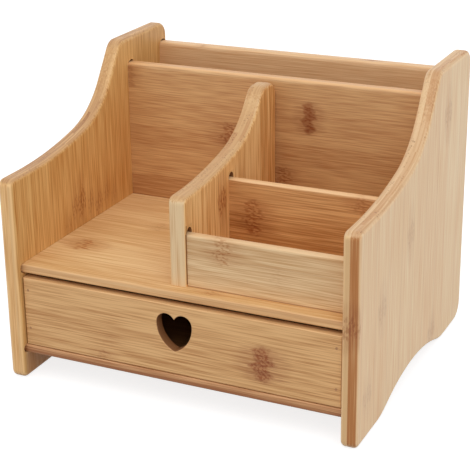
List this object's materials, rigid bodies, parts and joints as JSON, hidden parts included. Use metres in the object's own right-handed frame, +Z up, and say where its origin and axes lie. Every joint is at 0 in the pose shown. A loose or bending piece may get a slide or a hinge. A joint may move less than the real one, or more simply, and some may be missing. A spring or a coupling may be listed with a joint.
{
  "type": "desk organizer",
  "caption": "Bamboo desk organizer with swept sides, letter slot, divided tray and a drawer with a heart-shaped finger hole.",
  "frame": {"origin": "on the ground, under the middle of the bounding box", "axes": "+X to the right seen from the drawer front, +Y to the back, +Z up"},
  "size_m": [0.25, 0.22, 0.2021],
  "materials": {
    "bamboo_sides": "satin lacquered bamboo",
    "bamboo_boards": "satin lacquered bamboo",
    "bamboo_panels": "satin lacquered bamboo",
    "bamboo_drawer": "satin lacquered bamboo",
    "bamboo_ply": "sanded bamboo plywood",
    "zinc_screws": "zinc-plated steel",
    "steel_brads": "dull steel pins"
  },
  "bodies": {
    "carcass": {"left_side": "bamboo_sides", "right_side": "bamboo_sides", "shelf": "bamboo_boards", "bottom_board": "bamboo_boards", "rear_panel": "bamboo_boards", "inner_back": "bamboo_boards", "divider": "bamboo_sides", "front_short_panel": "bamboo_panels", "mid_short_panel": "bamboo_panels", "shelf_screws": "zinc_screws", "inner_back_screws": "zinc_screws"},
    "drawer": {"drawer_front": "bamboo_drawer", "drawer_left_wall": "bamboo_drawer", "drawer_right_wall": "bamboo_drawer", "drawer_back": "bamboo_drawer", "drawer_floor": "bamboo_ply", "drawer_front_brads": "steel_brads", "drawer_back_brads": "steel_brads"}
  },
  "joints": [
    {"name": "drawer_slide", "type": "slide", "parent": "carcass", "child": "drawer", "axis": [0, -1, 0], "range_m": [0, 0.16]}
  ]
}
